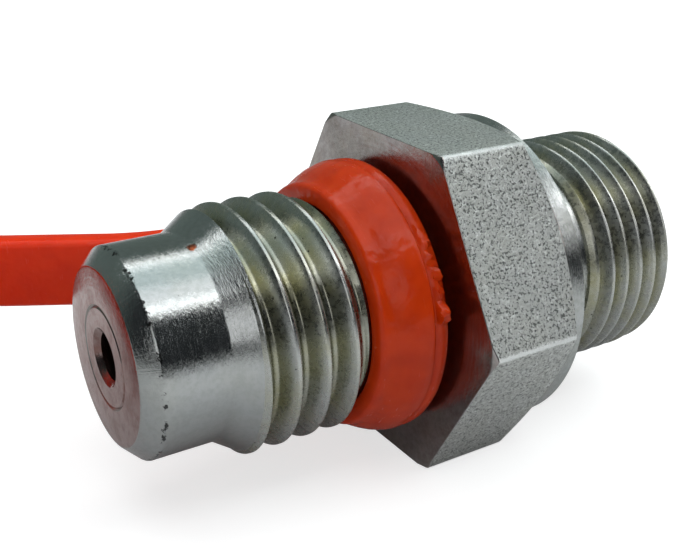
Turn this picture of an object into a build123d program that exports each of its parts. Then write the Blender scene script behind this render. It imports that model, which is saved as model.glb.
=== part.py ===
"""Test point coupling for a hydraulic line, with its tethered dust cap.

A turned steel body carries an M16 x 2 thread for the test adaptor, a spanner hexagon
and a G3/8 port stud. A spring-loaded poppet closes the bore until an adaptor's probe
pushes it back. A moulded strap hangs on the neck by a ring and holds the dust cap.

Frame: the origin is the centre of the port sealing face, the rear face of the collar.
+X runs out of the port stud, so the nose points along -X. The coupling lies on one
flat of its hexagon, with +Z up. All sizes are in millimetres.
"""
import os
from math import asin, cos, degrees, radians, sin, sqrt, tan

from build123d import *

# ---------------------------------------------------------------- port stud, G3/8
stud_length = 12.0
stud_major_d = 16.66
stud_pitch = 1.337
stud_thread_depth = 0.856
stud_end_chamfer = 0.75
relief_d = 14.7
relief_width = 3.2
stud_bore_d = 8.4
stud_bore_chamfer = 0.4
ridge_foot = 0.10
ridge_shoulder = 0.44

# ---------------------------------------------------------------- collar and hexagon
collar_d = 22.0
collar_length = 1.5
collar_edge = 0.3
hex_across_flats = 22.0
hex_length = 7.5
hex_land_margin = 1.3
hex_chamfer_angle = 30.0

# ---------------------------------------------------------------- neck, thread and nose
neck_d = 13.6
neck_length = 5.2
front_major_d = 15.9
front_pitch = 2.0
front_thread_depth = 1.2
front_thread_length = 8.9
nose_d = 13.2
nose_length = 5.3
nose_chamfer = 1.05

# ---------------------------------------------------------------- seals in the nose
gland_d = 6.3
insert_length = 3.4
probe_bore_d = 3.0
probe_mouth_d = 3.7
edge_break = 0.12
probe_seal_section = 1.44
probe_seal_clearance = 0.13
backup_ring_length = 1.0
backup_ring_bore_d = 3.2
gland_clearance = 0.05
passage_d = 2.8
passage_length = 2.9

# ---------------------------------------------------------------- check valve
chamber_d = 7.4
poppet_head_d = 6.8
poppet_head_length = 2.5
poppet_tip_d = 1.8
poppet_tip_setback = 0.5
seat_gap = 0.42
poppet_seal_width = 0.8
poppet_seal_bore_d = 3.8
poppet_seal_land = 0.3
poppet_seal_gap = 0.07
poppet_tip_chamfer = 0.25
spring_spigot_d = 3.4
spring_spigot_length = 1.4
guide_stem_d = 2.4
guide_stem_stickout = 1.0
running_clearance = 0.05
valve_travel = 2.5
spring_mean_d = 4.6
spring_wire_d = 0.6
spring_wire_sides = 8
spring_turns = 6
spring_end_gap = 0.02
retainer_length = 1.5
retainer_step = 13.5
retainer_hole_d = 1.4
retainer_hole_circle_d = 5.8
retainer_holes = 5
retainer_clearance = 0.05
circlip_thickness = 0.8
circlip_groove_depth = 0.6
circlip_clearance = 0.05
circlip_width = 1.2
circlip_gap_angle = 50.0
circlip_lug_d = 1.7
circlip_lug_hole_d = 0.8

# ---------------------------------------------------------------- port seal
port_seal_width = 2.15
port_seal_depth = 1.3
port_seal_proud = 0.2
port_seal_clearance = 0.05
port_seal_bevel = 0.35

# ---------------------------------------------------------------- cap strap
ring_length = 4.2
ring_front_d = 16.1
ring_bead_d = 16.56
ring_band_d = 18.6
ring_lip_d = 18.7
ring_lip_length = 0.9
ring_clearance = 0.08
ring_end_gap = 0.15
ring_round = 0.3
ring_bead_length = 0.9
ring_swell = 0.76
strap_width = 5.0
strap_thickness = 1.9
strap_edge_round = 0.5
strap_root_setback = 1.1
strap_root_depth = 1.3
strap_root_rise = 1.0
strap_root_bend = 2.4
strap_short_run = 3.6
strap_sweep_radius = 14.0
strap_sweep_angle = 28.0
strap_long_run = 6.8
strap_flare_radius = 5.0
strap_flare_angle = 50.0
strap_flare_run = 1.2
strap_end_run = 1.4
strap_eye_overlap = 1.2
eye_outer_d = 19.2

# ---------------------------------------------------------------- dust cap
cap_d = 21.0
cap_skirt_length = 14.0
cap_head_d = 17.0
cap_head_length = 1.3
cap_groove_d = 14.2
cap_groove_side_gap = 0.15
cap_wall = 2.0
cap_rib_count = 24
cap_rib_depth = 0.45
cap_rib_width = 1.0
cap_edge_chamfer = 0.6
cap_thread_clearance = 0.1
cap_seal_length = 1.0
cap_seal_bore_d = 5.0

# ---------------------------------------------------------------- stations along X
hex_rear = -collar_length
hex_front = hex_rear - hex_length
neck_front = hex_front - neck_length
thread_front = neck_front - front_thread_length
nose_face = thread_front - nose_length

gland_floor = nose_face + insert_length + probe_seal_section + 2 * probe_seal_clearance + backup_ring_length
seat_front = gland_floor + passage_length
seat_rear = seat_front + (chamber_d - passage_d) / 2
retainer_front = seat_rear + retainer_step
retainer_rear = retainer_front + retainer_length

stud_root_r = stud_major_d / 2 - stud_thread_depth
front_root_r = front_major_d / 2 - front_thread_depth
ring_bore_r = neck_d / 2 + ring_clearance
port_recess_r = relief_d / 2 + port_seal_width
hex_corner_r = hex_across_flats / sqrt(3)
hex_land_r = hex_across_flats / 2 + hex_land_margin
floor_z = -hex_across_flats / 2


def ridge_points(first, count, pitch, root_r, crest_r):
    """Points of a row of thread ridges, as (x, radius) from the first ridge's foot on."""
    points = []
    for turn in range(count):
        start = first + turn * pitch
        points += [
            (start + pitch * ridge_foot, root_r),
            (start + pitch * ridge_shoulder, crest_r),
            (start + pitch * (1 - ridge_shoulder), crest_r),
            (start + pitch * (1 - ridge_foot), root_r),
        ]
    return points


# ================================================================ body
stud_turns = int((stud_length - relief_width - stud_end_chamfer) / stud_pitch)
front_turns = int(front_thread_length / front_pitch)
front_lead = (front_thread_length - front_turns * front_pitch) / 2
circlip_front = retainer_rear
circlip_groove_r = stud_bore_d / 2 + circlip_groove_depth
corner_fall = tan(radians(hex_chamfer_angle))

# The hexagon, with its corners turned off at both ends by the chamfering tool.
with BuildPart() as hexagon:
    with BuildSketch(Plane.YZ.offset(hex_front)):
        RegularPolygon(hex_across_flats / 2, 6, major_radius=False)
    extrude(amount=hex_length)
    with BuildSketch(Plane.XZ):
        with BuildLine():
            Polyline(
                (hex_front, 0),
                (hex_front, hex_land_r),
                (hex_front + (hex_corner_r - hex_land_r) * corner_fall, hex_corner_r),
                (hex_rear - (hex_corner_r - collar_d / 2) * corner_fall, hex_corner_r),
                (hex_rear, collar_d / 2),
                (hex_rear, 0),
                close=True,
            )
        make_face()
    revolve(axis=Axis.X, mode=Mode.INTERSECT)

with BuildPart() as body:
    # The turned form, drawn as half a section and spun about the X axis.
    with BuildSketch(Plane.XZ):
        with BuildLine():
            Polyline(
                (nose_face, 0),
                (nose_face, nose_d / 2 - nose_chamfer),
                (nose_face + nose_chamfer, nose_d / 2),
                (thread_front, nose_d / 2),
                (thread_front, front_root_r),
                *ridge_points(
                    thread_front + front_lead, front_turns, front_pitch, front_root_r, front_major_d / 2
                ),
                (neck_front, front_root_r),
                (neck_front, neck_d / 2),
                (hex_front, neck_d / 2),
                (hex_front, collar_d / 2),
                (-collar_edge, collar_d / 2),
                (0, collar_d / 2 - collar_edge),
                (0, port_recess_r),
                (-port_seal_depth, port_recess_r),
                (-port_seal_depth, relief_d / 2),
                (relief_width, relief_d / 2),
                (relief_width, stud_root_r),
                *ridge_points(relief_width, stud_turns, stud_pitch, stud_root_r, stud_major_d / 2),
                (stud_length - stud_end_chamfer, stud_root_r),
                (stud_length, stud_root_r - stud_end_chamfer),
                (stud_length, 0),
                close=True,
            )
        make_face()
    revolve(axis=Axis.X)
    add(hexagon.part)
    # The stepped bore: gland, passage, valve seat, chamber, circlip groove and port.
    with BuildSketch(Plane.XZ):
        with BuildLine():
            Polyline(
                (nose_face, 0),
                (nose_face, gland_d / 2 + edge_break),
                (nose_face + edge_break, gland_d / 2),
                (gland_floor, gland_d / 2),
                (gland_floor, passage_d / 2),
                (seat_front, passage_d / 2),
                (seat_rear, chamber_d / 2),
                (retainer_front, chamber_d / 2),
                (retainer_front, stud_bore_d / 2),
                (circlip_front, stud_bore_d / 2),
                (circlip_front, circlip_groove_r),
                (circlip_front + circlip_thickness + circlip_clearance, circlip_groove_r),
                (circlip_front + circlip_thickness + circlip_clearance, stud_bore_d / 2),
                (stud_length - stud_bore_chamfer, stud_bore_d / 2),
                (stud_length, stud_bore_d / 2 + stud_bore_chamfer),
                (stud_length, 0),
                close=True,
            )
        make_face()
    revolve(axis=Axis.X, mode=Mode.SUBTRACT)
body.part.label = "body"

# ================================================================ nose seals
with BuildPart() as nose_insert:
    with BuildSketch(Plane.XZ):
        with BuildLine():
            Polyline(
                (nose_face, probe_mouth_d / 2),
                (nose_face, gland_d / 2 - edge_break),
                (nose_face + edge_break, gland_d / 2),
                (nose_face + insert_length, gland_d / 2),
                (nose_face + insert_length, probe_bore_d / 2),
                (nose_face + (probe_mouth_d - probe_bore_d) / 2, probe_bore_d / 2),
                close=True,
            )
        make_face()
    revolve(axis=Axis.X)
nose_insert.part.label = "nose_insert"

probe_seal_x = nose_face + insert_length + probe_seal_clearance + probe_seal_section / 2
probe_seal_r = gland_d / 2 - probe_seal_clearance - probe_seal_section / 2
with BuildPart() as probe_seal:
    with BuildSketch(Plane.XZ):
        with Locations((probe_seal_x, probe_seal_r)):
            Circle(probe_seal_section / 2)
    revolve(axis=Axis.X)
probe_seal.part.label = "probe_seal"

with BuildPart() as backup_ring:
    with BuildSketch(Plane.YZ.offset(gland_floor - backup_ring_length)):
        Circle(gland_d / 2 - gland_clearance)
        Circle(backup_ring_bore_d / 2, mode=Mode.SUBTRACT)
    extrude(amount=backup_ring_length)
backup_ring.part.label = "backup_ring"

# ================================================================ check valve
# The poppet's cone runs parallel to the 45 degree seat, seat_gap behind it.
tip_x = gland_floor + poppet_tip_setback
cone_front = seat_front + seat_gap + (poppet_tip_d - passage_d) / 2
cone_rear = seat_front + seat_gap + (poppet_head_d - passage_d) / 2
seal_rear = cone_rear - poppet_seal_land
seal_front = seal_rear - poppet_seal_width
head_rear = cone_rear + poppet_head_length
stem_end = retainer_rear + guide_stem_stickout


def seat_radius(x):
    """Radius of the body's valve seat at a station along the axis."""
    return passage_d / 2 + (x - seat_front)


with BuildPart() as poppet:
    with BuildSketch(Plane.XZ):
        with BuildLine():
            Polyline(
                (tip_x, 0),
                (tip_x, poppet_tip_d / 2 - poppet_tip_chamfer),
                (tip_x + poppet_tip_chamfer, poppet_tip_d / 2),
                (cone_front, poppet_tip_d / 2),
                (seal_front, seat_radius(seal_front) - seat_gap),
                (seal_front, poppet_seal_bore_d / 2),
                (seal_rear, poppet_seal_bore_d / 2),
                (seal_rear, seat_radius(seal_rear) - seat_gap),
                (cone_rear, poppet_head_d / 2),
                (head_rear, poppet_head_d / 2),
                (head_rear, spring_spigot_d / 2),
                (head_rear + spring_spigot_length, spring_spigot_d / 2),
                (head_rear + spring_spigot_length, guide_stem_d / 2),
                (stem_end, guide_stem_d / 2),
                (stem_end, 0),
                close=True,
            )
        make_face()
    revolve(axis=Axis.X)
poppet.part.label = "poppet"

with BuildPart() as poppet_seal:
    with BuildSketch(Plane.XZ):
        with BuildLine():
            Polyline(
                (seal_front, poppet_seal_bore_d / 2),
                (seal_rear, poppet_seal_bore_d / 2),
                (seal_rear, seat_radius(seal_rear) - poppet_seal_gap),
                (seal_front, seat_radius(seal_front) - poppet_seal_gap),
                close=True,
            )
        make_face()
    revolve(axis=Axis.X)
poppet_seal.part.label = "poppet_seal"

spring_start = head_rear + spring_wire_d / 2 + spring_end_gap
spring_span = retainer_front - spring_wire_d / 2 - spring_end_gap - spring_start
with BuildPart() as valve_spring:
    with BuildLine() as coil:
        Helix(
            spring_span / spring_turns,
            spring_span,
            spring_mean_d / 2,
            center=(spring_start, 0, 0),
            direction=(1, 0, 0),
        )
    with BuildSketch(Plane(origin=coil.line @ 0, z_dir=coil.line % 0)):
        RegularPolygon(spring_wire_d / 2, spring_wire_sides)
    sweep(path=coil.line, is_frenet=True)
valve_spring.part.label = "valve_spring"

with BuildPart() as spring_retainer:
    with BuildSketch(Plane.YZ.offset(retainer_front)):
        Circle(stud_bore_d / 2 - retainer_clearance)
        Circle(guide_stem_d / 2 + running_clearance, mode=Mode.SUBTRACT)
        with PolarLocations(retainer_hole_circle_d / 2, retainer_holes):
            Circle(retainer_hole_d / 2, mode=Mode.SUBTRACT)
    extrude(amount=retainer_length)
spring_retainer.part.label = "spring_retainer"

# An open ring with a pliers eye at each end of its gap.
circlip_outer_r = circlip_groove_r - circlip_clearance
circlip_inner_r = circlip_outer_r - circlip_width
lug_r = circlip_outer_r - circlip_width / 2 - circlip_lug_d / 2
lug_angle = circlip_gap_angle / 2 + degrees(asin(circlip_lug_d / 2 / lug_r))
gap_reach = circlip_outer_r / cos(radians(circlip_gap_angle / 2))
with BuildPart() as circlip:
    with BuildSketch(Plane.YZ.offset(circlip_front)):
        Circle(circlip_outer_r)
        Circle(circlip_inner_r, mode=Mode.SUBTRACT)
        with BuildLine():
            Polyline(
                (0, 0),
                (gap_reach * sin(radians(circlip_gap_angle / 2)), circlip_outer_r),
                (-gap_reach * sin(radians(circlip_gap_angle / 2)), circlip_outer_r),
                close=True,
            )
        make_face(mode=Mode.SUBTRACT)
        for side in (-1, 1):
            with PolarLocations(lug_r, 1, start_angle=90 + side * lug_angle):
                Circle(circlip_lug_d / 2)
                Circle(circlip_lug_hole_d / 2, mode=Mode.SUBTRACT)
    extrude(amount=circlip_thickness)
circlip.part.label = "circlip"

# ================================================================ port seal
port_seal_outer_r = port_recess_r - port_seal_clearance
port_seal_inner_r = relief_d / 2 + port_seal_clearance
with BuildPart() as port_seal:
    with BuildSketch(Plane.XZ):
        with BuildLine():
            Polyline(
                (-port_seal_depth, port_seal_inner_r),
                (-port_seal_depth, port_seal_outer_r),
                (port_seal_proud - port_seal_bevel, port_seal_outer_r),
                (port_seal_proud, port_seal_outer_r - port_seal_bevel),
                (port_seal_proud, port_seal_inner_r),
                close=True,
            )
        make_face()
    revolve(axis=Axis.X)
port_seal.part.label = "port_seal"

# ================================================================ cap strap
ring_front = neck_front + ring_end_gap
ring_rear = ring_front + ring_length
lip_front = ring_rear - ring_lip_length
ring_front_r = ring_front_d / 2
ring_bead_r = ring_bead_d / 2
ring_band_r = ring_band_d / 2
ring_lip_r = ring_lip_d / 2
cap_z = floor_z + cap_d / 2

# Centre line of the band, seen from above. It leaves the ring sideways, folds forward
# past the nose and swings out, so that the cap lies clear of an adaptor's way in.
strap_x = ring_rear - strap_root_setback
strap_root_y = ring_band_r - strap_root_depth
with BuildLine() as strap_path:
    rise = Line((strap_x, strap_root_y), (strap_x, strap_root_y + strap_root_rise))
    fold = JernArc(rise @ 1, rise % 1, strap_root_bend, 90)
    short_run = Line(fold @ 1, fold @ 1 + strap_short_run * (fold % 1))
    swing_out = JernArc(short_run @ 1, short_run % 1, strap_sweep_radius, -strap_sweep_angle)
    long_run = Line(swing_out @ 1, swing_out @ 1 + strap_long_run * (swing_out % 1))
    flare = JernArc(long_run @ 1, long_run % 1, strap_flare_radius, -strap_flare_angle)
    flare_run = Line(flare @ 1, flare @ 1 + strap_flare_run * (flare % 1))
    swing_back = JernArc(
        flare_run @ 1, flare_run % 1, strap_flare_radius, strap_sweep_angle + strap_flare_angle
    )
    end_run = Line(swing_back @ 1, swing_back @ 1 + strap_end_run * (swing_back % 1))
strap_end = end_run @ 1
eye_x = strap_end.X + strap_eye_overlap - eye_outer_d / 2
eye_y = strap_end.Y

with BuildPart() as cap_strap:
    # Ring: a bead at the front, a swelling band, a shallow groove and a rear lip.
    with BuildSketch(Plane.XZ):
        with BuildLine():
            Polyline(
                (lip_front + ring_round, ring_lip_r),
                (ring_rear - ring_round, ring_lip_r),
                (ring_rear, ring_lip_r - ring_round),
                (ring_rear, ring_bore_r),
                (ring_front, ring_bore_r),
                (ring_front, ring_front_r - ring_round),
                (ring_front + ring_round, ring_front_r),
                (ring_front + ring_bead_length, ring_bead_r),
            )
            ThreePointArc(
                (ring_front + ring_bead_length, ring_bead_r),
                ((ring_front + lip_front) / 2, ring_bead_r + ring_swell * (ring_band_r - ring_bead_r)),
                (lip_front - ring_round / 2, ring_band_r),
            )
            Polyline(
                (lip_front - ring_round / 2, ring_band_r),
                (lip_front, ring_band_r - ring_round / 2),
                (lip_front + ring_round, ring_lip_r),
            )
        make_face()
    revolve(axis=Axis.X)
    # Band: a flat strip on edge, swept along its centre line.
    with BuildSketch(Plane(origin=strap_path.line @ 0, x_dir=(1, 0, 0), z_dir=(0, 1, 0))):
        RectangleRounded(strap_thickness, strap_width, strap_edge_round)
    sweep(path=strap_path.line)
    # Eye: the flat ring in which the dust cap turns.
    with BuildSketch(Plane.XZ.offset(-eye_y - strap_thickness / 2)):
        with Locations((eye_x, cap_z)):
            Circle(eye_outer_d / 2)
    extrude(amount=strap_thickness)
    with BuildSketch(Plane.XZ.offset(-eye_y - strap_thickness / 2)):
        with Locations((eye_x, cap_z)):
            Circle(cap_groove_d / 2 + running_clearance)
    extrude(amount=strap_thickness, mode=Mode.SUBTRACT)
cap_strap.part.label = "cap_strap"

# ================================================================ dust cap
# The cap is drawn along its own axis, from the middle of the eye towards its mouth.
cap_axis = Axis((eye_x, eye_y, cap_z), (0, -1, 0))
cap_plane = Plane(origin=(eye_x, eye_y, cap_z), x_dir=(0, -1, 0), z_dir=(1, 0, 0))
groove_half = strap_thickness / 2 + cap_groove_side_gap
cap_mouth = groove_half + cap_skirt_length
cap_floor = groove_half + cap_wall
cap_crest_r = front_root_r + cap_thread_clearance
cap_root_r = front_major_d / 2 + cap_thread_clearance
cap_mouth_r = cap_root_r + cap_thread_clearance
cap_turns = int((cap_mouth - cap_floor - cap_seal_length) / front_pitch) - 1
cap_thread_start = cap_mouth - cap_edge_chamfer - cap_turns * front_pitch

with BuildPart() as dust_cap:
    with BuildSketch(cap_plane):
        with BuildLine():
            Polyline(
                (-groove_half - cap_head_length, 0),
                (-groove_half - cap_head_length, cap_head_d / 2 - cap_edge_chamfer),
                (-groove_half - cap_head_length + cap_edge_chamfer, cap_head_d / 2),
                (-groove_half, cap_head_d / 2),
                (-groove_half, cap_groove_d / 2),
                (groove_half, cap_groove_d / 2),
                (groove_half, cap_d / 2 - cap_edge_chamfer),
                (groove_half + cap_edge_chamfer, cap_d / 2),
                (cap_mouth - cap_edge_chamfer, cap_d / 2),
                (cap_mouth, cap_d / 2 - cap_edge_chamfer),
                (cap_mouth, cap_mouth_r),
                (cap_mouth - cap_edge_chamfer, cap_crest_r),
                *reversed(ridge_points(cap_thread_start, cap_turns, front_pitch, cap_crest_r, cap_root_r)),
                (cap_floor, cap_crest_r),
                (cap_floor, 0),
                close=True,
            )
        make_face()
    revolve(axis=cap_axis)
    # Grip: flutes cut along the skirt, with a land left underneath to lie on.
    with BuildSketch(Plane.XZ.offset(-eye_y + cap_mouth)):
        with Locations((eye_x, cap_z)):
            with PolarLocations(cap_d / 2, cap_rib_count, start_angle=90 + 180 / cap_rib_count):
                Rectangle(2 * cap_rib_depth, cap_rib_width)
    extrude(amount=-(cap_skirt_length - cap_edge_chamfer - cap_rib_width), mode=Mode.SUBTRACT)
dust_cap.part.label = "dust_cap"

with BuildPart() as cap_seal:
    with BuildSketch(Plane.XZ.offset(-eye_y + cap_floor)):
        with Locations((eye_x, cap_z)):
            Circle(cap_crest_r - gland_clearance)
            Circle(cap_seal_bore_d / 2, mode=Mode.SUBTRACT)
    extrude(amount=cap_seal_length)
cap_seal.part.label = "cap_seal"

# ================================================================ export
pieces = [
    body,
    nose_insert,
    probe_seal,
    backup_ring,
    poppet,
    poppet_seal,
    valve_spring,
    spring_retainer,
    circlip,
    port_seal,
    cap_strap,
    dust_cap,
    cap_seal,
]
os.makedirs("parts", exist_ok=True)
for piece in pieces:
    export_step(piece.part, f"parts/{piece.part.label}.step")
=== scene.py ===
# %% [markdown]
# # A test point coupling and its tethered dust cap
#
# The real thing is a turned and milled steel fitting of about 40 mm, zinc plated, with a
# moulded orange-red strap on its neck. The CAD model holds its sizes, so this lesson only
# dresses it: smooth meshes with true helical threads, and a finish for every surface.

import math

import bmesh
import bpy
from mathutils import Matrix, Vector, noise


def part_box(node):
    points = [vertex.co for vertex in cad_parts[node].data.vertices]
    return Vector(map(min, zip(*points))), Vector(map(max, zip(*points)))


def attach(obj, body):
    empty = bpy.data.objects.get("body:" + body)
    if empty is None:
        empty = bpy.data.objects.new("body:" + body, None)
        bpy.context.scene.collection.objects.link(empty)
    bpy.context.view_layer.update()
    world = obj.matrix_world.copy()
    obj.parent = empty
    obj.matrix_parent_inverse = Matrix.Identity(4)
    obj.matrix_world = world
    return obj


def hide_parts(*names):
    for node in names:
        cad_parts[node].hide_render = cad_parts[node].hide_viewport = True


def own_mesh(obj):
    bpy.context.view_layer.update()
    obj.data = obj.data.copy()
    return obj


MM = 0.001
FULL_TURN = 2 * math.pi


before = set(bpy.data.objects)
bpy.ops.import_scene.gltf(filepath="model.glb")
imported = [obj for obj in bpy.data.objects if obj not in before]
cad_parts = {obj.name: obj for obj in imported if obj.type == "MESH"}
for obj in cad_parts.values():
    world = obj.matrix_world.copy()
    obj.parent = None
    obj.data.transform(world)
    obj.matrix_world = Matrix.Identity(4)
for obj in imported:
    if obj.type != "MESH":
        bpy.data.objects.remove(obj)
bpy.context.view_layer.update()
scene = bpy.context.scene

# %% [markdown]
# ## Sizes
#
# A turner works from stations along the axis and radii round it, and so does this lesson,
# in millimetres. Stations could be typed in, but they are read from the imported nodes
# where a node ends there, so that the dressed part can't drift from the CAD model. The
# rest are the fitting's own sizes, such as the chamfer on its nose.

# %% Stations and radii


def station(node, side, axis=0):
    """Lowest (side 0) or highest (side 1) coordinate of a CAD node, in millimetres."""
    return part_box(node)[side][axis] / MM


fit_gap = 0.05
nose_face = station("body", 0)
stud_end = station("body", 1)
half_flats = station("body", 1, axis=2)
insert_r = station("nose_insert", 1, axis=2)
gland_floor = station("backup_ring", 1)
retainer_front = station("spring_retainer", 0)
retainer_rear = station("spring_retainer", 1)
circlip_rear = station("circlip", 1)
circlip_groove_r = station("circlip", 1, axis=1) + fit_gap
seal_recess_x = station("port_seal", 0)
seal_recess_r = station("port_seal", 1, axis=2) + fit_gap

nose_r = 6.6
nose_length = 5.3
nose_chamfer = 1.05
front_thread_length = 8.9
neck_r = 6.8
neck_length = 5.2
hex_length = 7.5
hex_land_r = 12.3
collar_r = 11.0
collar_edge = 0.3
relief_r = 7.35
relief_width = 3.7
stud_tip_r = 6.80
stud_tip_length = 0.55
passage_r = 1.4
passage_length = 2.9
chamber_r = 3.7
stud_bore_r = 4.2
stud_bore_chamfer = 0.4

thread_front = nose_face + nose_length
neck_front = thread_front + front_thread_length
hex_front = neck_front + neck_length
hex_rear = hex_front + hex_length
hex_corner_r = half_flats / math.cos(math.radians(30))
print("nose face", round(nose_face, 2), "hexagon", round(hex_front, 2), "to", round(hex_rear, 2))

# %% [markdown]
# ## The camera
#
# A small part is pictured from close by, so its perspective is strong. A Track To
# constraint could aim the camera, but an azimuth, an elevation and a small roll keep the
# viewing angle as plain numbers, and the place is set apart from them.

# %% Camera
camera_azimuth = 32.89
camera_elevation = 22.89
camera_roll = 0.70
camera_place = Vector((-45.52, -53.12, 28.30)) * MM

camera_data = bpy.data.cameras.new("camera")
camera_data.lens = 52.76
camera_data.sensor_width = 36.0
camera_data.clip_start = 0.002
camera_data.clip_end = 20.0
camera = bpy.data.objects.new("camera", camera_data)
scene.collection.objects.link(camera)
turn = (
    Matrix.Rotation(math.radians(-camera_azimuth), 4, "Z")
    @ Matrix.Rotation(math.radians(90 - camera_elevation), 4, "X")
    @ Matrix.Rotation(math.radians(camera_roll), 4, "Z")
)
camera.matrix_world = Matrix.Translation(camera_place) @ turn
scene.view_settings.view_transform = "Standard"
scene.camera = camera
print("camera at", [round(c / MM, 1) for c in camera_place])

# %% [markdown]
# ## Shader building blocks
#
# Plated steel has no pattern of one kind: lathe marks, plating bloom and pits lie over
# each other. Such a finish could be one large node tree for each material. Here a few
# short helpers wire the nodes, so that each finish below reads as a list of its effects.

# %% Maths nodes


def plug(tree, socket, value):
    """Sets an input to a number, or links a socket to it."""
    if isinstance(value, (int, float)):
        socket.default_value = value
    elif isinstance(value, tuple):
        socket.default_value = (*value, 1.0)
    else:
        tree.links.new(value, socket)


def maths(tree, operation, a, b=None, c=None, clamp=False):
    """A Math node whose inputs are sockets or plain numbers."""
    node = tree.nodes.new("ShaderNodeMath")
    node.operation = operation
    node.use_clamp = clamp
    for socket, value in zip(node.inputs, (a, b, c)):
        if value is not None:
            plug(tree, socket, value)
    return node.outputs[0]


def times(tree, a, b):
    """The product of two inputs."""
    return maths(tree, "MULTIPLY", a, b)


def ramp(tree, value, low, high, to_low=0.0, to_high=1.0):
    """A smooth Map Range node from low..high to to_low..to_high."""
    node = tree.nodes.new("ShaderNodeMapRange")
    node.interpolation_type = "SMOOTHSTEP"
    tree.links.new(value, node.inputs["Value"])
    limits = {"From Min": low, "From Max": high, "To Min": to_low, "To Max": to_high}
    for label, number in limits.items():
        node.inputs[label].default_value = number
    return node.outputs["Result"]


def mix(tree, factor, a, b):
    """A colour mix whose inputs are sockets or RGB tuples."""
    node = tree.nodes.new("ShaderNodeMix")
    node.data_type = "RGBA"
    for index, value in ((0, factor), (6, a), (7, b)):
        plug(tree, node.inputs[index], value)
    return node.outputs[2]


print("maths helpers: plug, maths, times, ramp, mix")

# %% Vector nodes


def object_mm(tree):
    """Object coordinates in millimetres, as a vector socket."""
    coordinates = tree.nodes.new("ShaderNodeTexCoord")
    scaled = tree.nodes.new("ShaderNodeVectorMath")
    scaled.operation = "SCALE"
    scaled.inputs["Scale"].default_value = 1 / MM
    tree.links.new(coordinates.outputs["Object"], scaled.inputs[0])
    return scaled.outputs[0]


def split(tree, vector):
    """The x, y and z sockets of a vector."""
    node = tree.nodes.new("ShaderNodeSeparateXYZ")
    tree.links.new(vector, node.inputs[0])
    return node.outputs[0], node.outputs[1], node.outputs[2]


def join(tree, x, y, z):
    """A vector, or a colour, from three sockets or numbers."""
    node = tree.nodes.new("ShaderNodeCombineXYZ")
    for socket, value in zip(node.inputs, (x, y, z)):
        plug(tree, socket, value)
    return node.outputs[0]


def reach(tree, a, b):
    """How far two coordinates lie from nought, by Pythagoras."""
    return maths(tree, "SQRT", maths(tree, "ADD", times(tree, a, a), times(tree, b, b)))


def axis_radius(tree, vector):
    """Distance from the X axis, in the vector's units."""
    x, y, z = split(tree, vector)
    return reach(tree, y, z)


def noise_at(tree, vector, scale, detail=2.0, roughness=0.5):
    """A Noise Texture's value at a vector."""
    node = tree.nodes.new("ShaderNodeTexNoise")
    node.inputs["Scale"].default_value = scale
    node.inputs["Detail"].default_value = detail
    node.inputs["Roughness"].default_value = roughness
    tree.links.new(vector, node.inputs["Vector"])
    return node.outputs[0]


print("vector helpers: object_mm, split, join, reach, axis_radius, noise_at")

# %% [markdown]
# ## Turning marks
#
# A lathe tool leaves fine rings, a few to the millimetre and never quite even. They could
# be cut into the mesh, but they are far too fine. On a cylinder the rings follow X and on
# a face they follow the radius, so the sum of the two is one coordinate that works on
# both, and a noise stretched along the rings gives their height.

# %% Group: turning marks


def group(name, inputs, outputs):
    """An empty shader node group with named float inputs and outputs of given kinds."""
    tree = bpy.data.node_groups.new(name, "ShaderNodeTree")
    for label, default in inputs:
        socket = tree.interface.new_socket(label, in_out="INPUT", socket_type="NodeSocketFloat")
        socket.default_value = default
    for label, kind in outputs:
        tree.interface.new_socket(label, in_out="OUTPUT", socket_type=kind)
    return tree, tree.nodes.new("NodeGroupInput"), tree.nodes.new("NodeGroupOutput")


def make_turning_marks():
    """Lathe rings: their height, and the fine rings alone as a streak value."""
    tree, given, result = group(
        "turning_marks",
        [("Feed", 0.09), ("Unevenness", 0.5)],
        [("Height", "NodeSocketFloat"), ("Streak", "NodeSocketFloat")],
    )
    place = object_mm(tree)
    x, y, z = split(tree, place)
    face_share, ring_stretch, wide_share = 0.73, 0.22, 0.16
    along = maths(tree, "MULTIPLY_ADD", axis_radius(tree, place), face_share, x)
    across = maths(tree, "DIVIDE", along, given.outputs["Feed"])
    low_y = times(tree, y, ring_stretch)
    low_z = times(tree, z, ring_stretch)
    fine_place = join(tree, across, low_y, low_z)
    rings = noise_at(tree, fine_place, 1.0, detail=3.0, roughness=0.65)
    wide_place = join(tree, times(tree, across, wide_share), low_y, low_z)
    wide = noise_at(tree, wide_place, 1.0, detail=2.0)
    height = maths(tree, "MULTIPLY_ADD", wide, given.outputs["Unevenness"], rings)
    tree.links.new(height, result.inputs["Height"])
    tree.links.new(rings, result.inputs["Streak"])
    return tree


turning_marks = make_turning_marks()
print("turning_marks:", len(turning_marks.nodes), "nodes")

# %% [markdown]
# ## Pits
#
# Handling and damp leave small dark pits in plated steel. They could be scattered as
# geometry, which is heavy for so little. A Voronoi texture gives every cell a random
# colour, so one threshold on it picks the few cells that hold a pit, and how wide it is.

# %% Group: pits


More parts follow.
